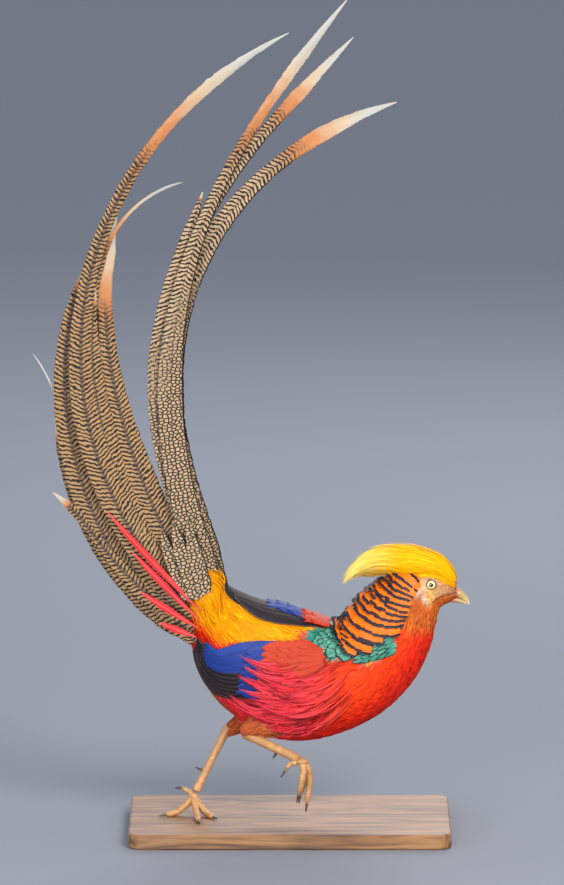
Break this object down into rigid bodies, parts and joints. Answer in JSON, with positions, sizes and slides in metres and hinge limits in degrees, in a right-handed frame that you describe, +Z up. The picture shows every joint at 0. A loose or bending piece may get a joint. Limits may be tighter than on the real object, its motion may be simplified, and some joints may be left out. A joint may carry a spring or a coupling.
{
  "type": "golden pheasant model",
  "caption": "Life-size still model of a male golden pheasant at a run on one foot, tail raised and curved over its back, on a plain wooden base.",
  "frame": {"origin": "middle of the underside of the wooden base", "axes": "+X the way the bird runs and its bill points, +Y to its left, +Z up"},
  "size_m": [0.4858, 0.21, 0.9455],
  "materials": {
    "stand_wood": "satin oiled",
    "plumage_red": "soft matte feather",
    "plumage_gold": "silky feather",
    "plumage_orange": "soft matte feather",
    "plumage_blue": "glossy feather",
    "plumage_tan": "soft matte feather",
    "plumage_rufous": "soft matte feather",
    "crest_yellow": "silky feather",
    "horn": "satin horn",
    "leg_scales": "satin scaled skin",
    "claw_horn": "satin horn",
    "eye": "wet gloss"
  },
  "bodies": {
    "root": {"stand_base": "stand_wood", "head": "plumage_rufous", "crest": "crest_yellow", "eye_left": "eye", "eye_right": "eye", "beak_upper": "horn", "beak_lower": "horn", "neck": "plumage_orange", "torso": "plumage_red", "wing_left": "plumage_blue", "wing_right": "plumage_blue", "tail_base": "plumage_gold", "tail_central": "plumage_tan", "tail_side": "plumage_tan", "thigh_left": "plumage_rufous", "tarsus_left": "leg_scales", "foot_left": "leg_scales", "spur_left": "claw_horn", "claw_left_1": "claw_horn", "claw_left_2": "claw_horn", "claw_left_3": "claw_horn", "claw_left_4": "claw_horn", "thigh_right": "plumage_rufous", "tarsus_right": "leg_scales", "foot_right": "leg_scales", "spur_right": "claw_horn", "claw_right_1": "claw_horn", "claw_right_2": "claw_horn", "claw_right_3": "claw_horn", "claw_right_4": "claw_horn"}
  },
  "joints": []
}
